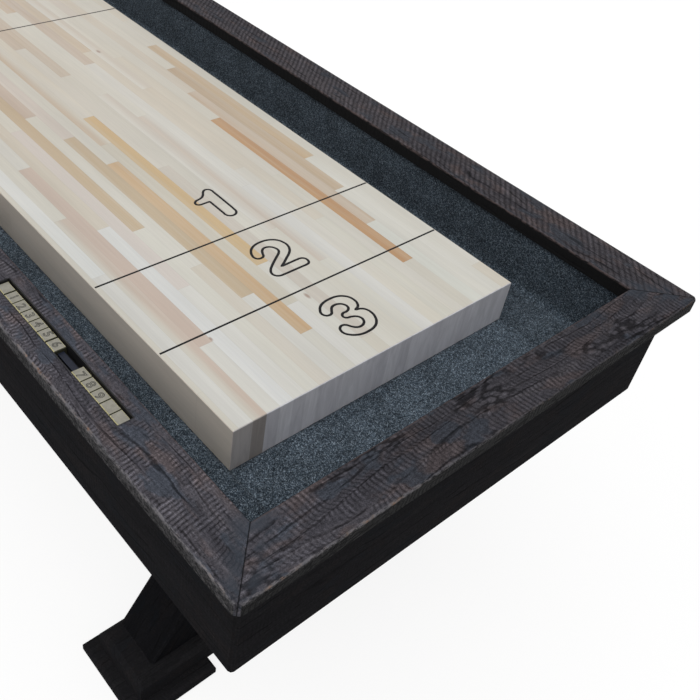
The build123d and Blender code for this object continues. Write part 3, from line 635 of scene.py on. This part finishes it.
def mark_playfield():
    ink = enamel("black_line_paint", LINE_BLACK, 0.35)
    film, lift, short = 0.00012, 0.00005, 0.0042
    shape = bmesh.new()
    for end in (-1, 1):
        for back in (ZONE, 2 * ZONE, FOUL):
            centre = Vector((end * (FIELD_X - back), 0, FIELD_TOP + lift))
            size = Matrix.Diagonal((LINE_WIDTH, 2 * FIELD_Y - short, film, 1))
            strip = bmesh.ops.create_cube(shape, size=1, matrix=Matrix.Translation(centre) @ size)["verts"]
            rims = [edge for edge in once(edge for point in strip for edge in point.link_edges)
                    if all(point.co.z > FIELD_TOP for point in edge.verts)]
            bmesh.ops.bevel(shape, geom=rims, offset=0.00005, segments=2, profile=0.5, affect="EDGES",
                            material=-1)
    piece_from(shape, "scoring_lines", "table", ink)
    for end, turn in (("front", 1), ("rear", -1)):
        for number, points, zones in (("one", ONE, 2.5), ("two", TWO, 1.5), ("three", THREE, 0.5)):
            middle = (turn * (FIELD_X - zones * ZONE), 0)
            numeral(f"numeral_{number}_{end}", points, middle, turn * math.pi / 2, ink)


# ---- Abacus scorers ----
TAUPE = [(0.3, (0.250, 0.238, 0.200)), (0.7, (0.330, 0.316, 0.268))]
GILT_EDGE, GILT_SIDE, TILE_END_SHADE = (0.56, 0.53, 0.34), (0.86, 0.78, 0.42), (0.024, 0.024, 0.012)


def tile_plastic():
    """Taupe faces with gilt edges and sides; the butts, where tiles meet, are darkened with painted shade."""
    plastic = Finish("taupe_tile_plastic")
    here = plastic.place()
    haze = plastic.noise(here, 0.006, 4, 0.6)
    grain = plastic.noise(here, 0.0008, 2, 0.7)
    colour = plastic.ramp(haze, TAUPE)
    colour = plastic.shade(colour, plastic.grade(grain, 0.3, 0.7, 0.92, 1.07))
    colour = plastic.mix(plastic.times(plastic.arris(0.0022), 0.8), colour, GILT_EDGE)
    along, across, _ = plastic.split(plastic.add("NewGeometry").outputs["Normal"])
    side, butt = plastic.calc("ABSOLUTE", across), plastic.calc("ABSOLUTE", along)
    colour = plastic.mix(plastic.times(plastic.grade(side, 0.4, 0.65), 0.9), colour, GILT_SIDE)
    # painted shade: the butts, facing along the slot, turn nearly black
    colour = plastic.mix(plastic.times(plastic.grade(butt, 0.4, 0.65), 0.95), colour, TILE_END_SHADE)
    return plastic.done(colour, plastic.grade(haze, 0.3, 0.7, 0.36, 0.5), plastic.relief(grain, 0.00003),
                        Specular_IOR_Level=0.3)


def moulded(name, colour, rough, texture=0.0006):
    """A dark moulded or coated part with a little dust, paler on its edges."""
    plastic = Finish(name)
    dusty = tuple(1.5 * part + 0.004 for part in colour)
    rubbed = tuple(2.5 * part + 0.02 for part in colour)
    grain = plastic.noise(plastic.place(), texture, 3, 0.7)
    dust = plastic.noise(plastic.place(), 0.02, 4, 0.6)
    shade = plastic.ramp(dust, [(0.35, colour), (0.75, dusty)])
    shade = plastic.mix(plastic.times(plastic.arris(0.0008), 0.4), shade, rubbed)
    return plastic.done(shade, plastic.grade(grain, 0.3, 0.7, rough - 0.08, rough + 0.08),
                        plastic.relief(grain, 0.00005), Specular_IOR_Level=0.3)


def digit(name, figure, body, swing, ink):
    """A figure printed on a tile: its outline, drawn and pressed nearly flat."""
    tall, stroke, widen, press = 0.0155, 0.00042, 1.12, 0.25
    low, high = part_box(body)
    text = bpy.data.curves.new(name, "FONT")
    text.body, text.size = figure, tall
    text.align_x, text.align_y = "CENTER", "CENTER"
    text.fill_mode, text.bevel_depth, text.resolution_u = "NONE", stroke, 3
    mesh = mesh_of(text, name)
    middle = [sum(point.co[axis] for point in mesh.vertices) / len(mesh.vertices) for axis in (0, 1)]
    spot = Matrix.Translation(((low.x + high.x) / 2, (low.y + high.y) / 2, high.z))
    lay = spot @ Matrix.Rotation(swing, 4, "Z") @ Matrix.Diagonal((widen, 1, press, 1))
    mesh.transform(lay @ Matrix.Translation((-middle[0], -middle[1], 0)))
    settle(bpy.data.objects.new(name, mesh), body, ink)


def number_tiles():
    paint(tile_plastic(), *[name for name in nodes if "_tile_" in name])
    ink = enamel("grey_digit_paint", DIGIT_GREY, 0.45)
    for side, swing in (("left", 0), ("right", math.pi)):
        for figure in "123456789":
            digit(f"{side}_digit_{figure}", figure, f"{side}_tile_{figure}", swing, ink)


# ---- Plain softwood, steel and black parts inside and underneath ----
SOFTWOOD = [(0.0, (0.660, 0.500, 0.310)), (0.7, (0.600, 0.430, 0.245)), (1.0, (0.470, 0.300, 0.150))]
PALE_EDGE, BRIGHT_STEEL = (0.70, 0.56, 0.38), (0.80, 0.80, 0.80)
ZINC = [(0.3, (0.50, 0.51, 0.53)), (0.7, (0.66, 0.66, 0.66))]
BLUED = [(0.3, (0.008, 0.010, 0.018)), (0.7, (0.020, 0.024, 0.040))]
POWDER_BLACK, TRAY_BLACK = (0.016, 0.016, 0.017), (0.007, 0.007, 0.008)
RODS = ("adjuster_rod_front", "adjuster_rod_middle", "adjuster_rod_rear")


def planed_softwood(name, turn, seed):
    wood = Finish(name)
    grain = wood.place(turn, (seed, seed * 0.3, seed * 0.8))
    along, across, deep = wood.split(grain)
    wander = wood.times(wood.noise(wood.stretch(grain, 1.2, 4, 4), 0.3, 2), 0.05)
    bent = wood.join(along, wood.plus(across, wander), wood.plus(deep, wood.times(wander, 0.5)))
    rings = wood.calc("SINE", wood.times(wood.noise(wood.stretch(bent, 0.6, 9, 9), 1, 2), 70))
    fibre = wood.noise(wood.stretch(bent, 9, 380, 380), 1, 3, 0.6)
    colour = wood.ramp(wood.grade(rings, -1, 1), SOFTWOOD)
    colour = wood.shade(colour, wood.grade(fibre, 0.3, 0.7, 0.90, 1.06))
    colour = wood.mix(wood.times(wood.arris(0.002), 0.3), colour, PALE_EDGE)
    rough = wood.grade(fibre, 0.3, 0.7, 0.66, 0.54)
    return wood.done(colour, rough, wood.relief(wood.plus(rings, fibre), 0.00006), Specular_IOR_Level=0.3)


def plated_steel(name, axis=None, plain=0.0):
    """Zinc-plated steel; where axis is given, a thread runs along it, except within plain of the middle."""
    pitch = 0.00175
    steel = Finish(name)
    here = steel.place()
    brush = steel.noise(steel.stretch(here, 900, 900, 900), 1, 2)
    cloud = steel.noise(here, 0.008, 3, 0.6)
    colour = steel.ramp(cloud, ZINC)
    rub = steel.times(steel.arris(0.001), 0.5)
    colour = steel.mix(rub, colour, BRIGHT_STEEL)
    height = steel.times(brush, 0.05)
    if axis is not None:
        run = steel.split(here)[axis]
        thread = steel.calc("SINE", steel.times(run, 2 * math.pi / pitch))
        clear = steel.grade(steel.calc("ABSOLUTE", run), plain, plain + 0.0004) if plain else 1.0
        height = steel.plus(height, steel.times(thread, clear))
        # painted shade in the thread's grooves: darker where the thread dips
        colour = steel.shade(colour, steel.grade(steel.times(thread, clear), -1.0, 0.2, 0.45, 1.0))
    rough = steel.grade(cloud, 0.3, 0.7, 0.30, 0.42)
    return steel.done(colour, rough, steel.relief(height, 0.0003), Metallic=1.0)


def blued_steel(name):
    guide = Finish(name)
    brushed = guide.noise(guide.stretch(guide.place(), 30, 2500, 2500), 1, 3)
    colour = guide.ramp(brushed, BLUED)
    return guide.done(colour, guide.grade(brushed, 0.3, 0.7, 0.36, 0.5), guide.relief(brushed, 0.00003),
                      Specular_IOR_Level=0.2)


def finish_hidden_parts():
    paint(planed_softwood("softwood_lengthwise", ALONG_X, 1.3), "gutter_boards_side", "corner_blocks")
    paint(planed_softwood("softwood_crosswise", ALONG_Y, 4.6), "gutter_boards_end", "cross_bearers",
          "end_cleats")
    paint(plated_steel("plated_rod", 1, plain=0.012), *RODS)
    levellers = [name for name in nodes if name.startswith("leveller")]
    paint(plated_steel("plated_studs", 2), *levellers, "leg_bolts")
    paint(moulded("black_powder_coat", POWDER_BLACK, 0.5, 0.0012), "adjuster_brackets")
    paint(moulded("black_tray_plastic", TRAY_BLACK, 0.45), "scorer_trays")
    paint(blued_steel("blued_guide_bar"), "scorer_guides")


def ring_bolts(steel):
    """Washers round the leg bolts' heads: a small flat outline, spun round each bolt."""
    half_head, pocket, spacing = 0.0085, 0.012, 0.09
    reach, sunk, half_thick = 0.0119, 0.0007, 0.0006
    high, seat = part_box("leg_bolts")[1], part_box("head_beam_front")[0].z + pocket
    bolt_x, bolt_y = high.x - half_head / math.cos(math.pi / 6), high.y - half_head
    upright, flatten = Matrix.Rotation(math.pi / 2, 4, "X"), Matrix.Diagonal((2.4, 1, 1, 1))
    shape = bmesh.new()
    for x in (bolt_x, bolt_x - spacing, spacing - bolt_x, -bolt_x):
        for y in (-bolt_y, bolt_y):
            lay = Matrix.Translation((x + reach, y, seat - sunk)) @ upright @ flatten
            start = bmesh.ops.create_circle(shape, segments=6, radius=half_thick, cap_ends=True,
                                            matrix=lay)["verts"]
            rim = once(edge for point in start for edge in point.link_edges)
            cap = once(face for point in start for face in point.link_faces)
            bmesh.ops.spin(shape, geom=rim + cap + start, cent=(x, y, 0), axis=(0, 0, 1), angle=2 * math.pi,
                           steps=36, use_merge=True)
    bmesh.ops.remove_doubles(shape, verts=shape.verts, dist=1e-6)
    inner = [face for face in shape.faces if len(face.verts) == 6]
    bmesh.ops.delete(shape, geom=inner, context="FACES_ONLY")
    bmesh.ops.recalc_face_normals(shape, faces=shape.faces)
    piece_from(shape, "bolt_washers", "table", steel)


def screw_brackets(steel):
    """Recessed screws that hold the adjuster brackets, two in each."""
    leaf, from_edge, spread, tall, recess = 0.008, 0.026, 0.033, 0.0022, 0.0012
    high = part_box("adjuster_brackets")[1]
    shape = bmesh.new()
    for name in RODS:
        start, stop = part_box(name)
        for side in (-1, 1):
            for offset in (-spread, spread):
                x, y = (start.x + stop.x) / 2 + offset, side * (high.y - from_edge)
                spot = (x, y, high.z - leaf - tall / 2)
                made = bmesh.ops.create_cone(shape, cap_ends=True, segments=20, radius1=0.0034,
                                             radius2=0.0046, depth=tall, matrix=Matrix.Translation(spot))
                head = made["verts"]
                crown = min(once(face for point in head for face in point.link_faces),
                            key=lambda face: face.calc_center_median().z)
                bmesh.ops.inset_individual(shape, faces=[crown], thickness=0.0016)
                bmesh.ops.translate(shape, verts=crown.verts, vec=(0, 0, recess))
                edges = once(edge for point in head for edge in point.link_edges)
                sharp = [edge for edge in edges if edge.calc_face_angle(0) > 0.6]
                bmesh.ops.bevel(shape, geom=sharp, offset=0.0004, segments=2, profile=0.5, affect="EDGES",
                                material=-1)
    piece_from(shape, "bracket_screws", "table", steel)


def fasteners():
    steel = plated_steel("plated_fasteners")
    ring_bolts(steel)
    screw_brackets(steel)


# ---- Camera, light, floor and background ----
EYE, AHEAD, ROLL = (2.1422, -0.7026, 1.5234), (-0.52341, 0.53475, -0.66339), 8.2534
LENS, FILM_WIDTH, LENS_SHIFT = 45.54, 36, (0.0789, -0.0239)
LAMP_AHEAD, LAMP_POWER, LAMP_SPREAD = (-0.16, 0.42, -1), 1.70, 60
ROOM_LIGHT, ROOM_SEEN, FLOOR_GLOW = 0.46, 1.0, 0.84
FLOOR_LIT, FLOOR_SEEN = (0.30, 0.30, 0.30, 1), (0.18, 0.18, 0.18, 1)
WHITE = (1, 1, 1, 1)


def seen_rays(tree):
    """1 for what the camera sees straight, in a reflection or through glass."""
    rays = tree.nodes.new("ShaderNodeLightPath")
    seen = rays.outputs["Is Camera Ray"]
    for name in ("Is Glossy Ray", "Is Transmission Ray"):
        either = tree.nodes.new("ShaderNodeMath")
        either.operation = "MAXIMUM"
        tree.links.new(seen, either.inputs[0])
        tree.links.new(rays.outputs[name], either.inputs[1])
        seen = either.outputs[0]
    return seen


def stand_camera(scene):
    camera = bpy.data.objects.new("camera", bpy.data.cameras.new("camera"))
    turn = Vector(AHEAD).to_track_quat("-Z", "Y").to_matrix() @ Matrix.Rotation(math.radians(ROLL), 3, "Z")
    camera.matrix_world = Matrix.Translation(EYE) @ turn.to_4x4()
    camera.data.lens, camera.data.sensor_width = LENS, FILM_WIDTH
    camera.data.shift_x, camera.data.shift_y = LENS_SHIFT
    camera.data.clip_start, camera.data.clip_end = 0.05, 100
    scene.collection.objects.link(camera)
    scene.camera = camera


def hang_lamp(scene):
    lamp = bpy.data.objects.new("overhead_light", bpy.data.lights.new("overhead_light", "SUN"))
    lamp.data.energy, lamp.data.angle = LAMP_POWER, math.radians(LAMP_SPREAD)
    lamp.rotation_euler = Vector(LAMP_AHEAD).to_track_quat("-Z", "Y").to_euler()
    scene.collection.objects.link(lamp)


def light_room(scene):
    world = bpy.data.worlds.new("pale_room")
    world.use_nodes = True
    tree = world.node_tree
    tree.nodes.clear()
    seen = seen_rays(tree)
    blend = tree.nodes.new("ShaderNodeMixShader")
    tree.links.new(seen, blend.inputs[0])
    for inlet, strength in ((1, ROOM_LIGHT), (2, ROOM_SEEN)):
        glow = tree.nodes.new("ShaderNodeBackground")
        glow.inputs[0].default_value, glow.inputs[1].default_value = WHITE, strength
        tree.links.new(glow.outputs[0], blend.inputs[inlet])
    tree.links.new(blend.outputs[0], tree.nodes.new("ShaderNodeOutputWorld").inputs[0])
    scene.world = world


def lay_floor(scene):
    shape = bmesh.new()
    bmesh.ops.create_grid(shape, x_segments=8, y_segments=8, size=20)
    mesh = bpy.data.meshes.new("floor")
    shape.to_mesh(mesh)
    shape.free()
    floor = bpy.data.objects.new("floor", mesh)
    scene.collection.objects.link(floor)
    pale = Finish("pale_floor")
    seen = seen_rays(pale.tree)
    lit = pale.add("BsdfDiffuse", {"Color": FLOOR_LIT}).outputs[0]
    shown = pale.add("BsdfDiffuse", {"Color": FLOOR_SEEN}).outputs[0]
    glow = pale.add("Emission", {"Color": WHITE, "Strength": FLOOR_GLOW}).outputs[0]
    bright = pale.add("AddShader", {0: shown, 1: glow}).outputs[0]
    pale.add("OutputMaterial", {0: pale.add("MixShader", {0: seen, 1: lit, 2: bright}).outputs[0]})
    floor.data.materials.append(pale.material)


def studio():
    scene = bpy.context.scene
    scene.view_settings.view_transform = "Standard"
    stand_camera(scene)
    hang_lamp(scene)
    light_room(scene)
    lay_floor(scene)


studio()
finish_caps()
finish_frames()
paint(maple_block(), "playfield")
lay_carpets()
mark_playfield()
number_tiles()
finish_hidden_parts()
fasteners()
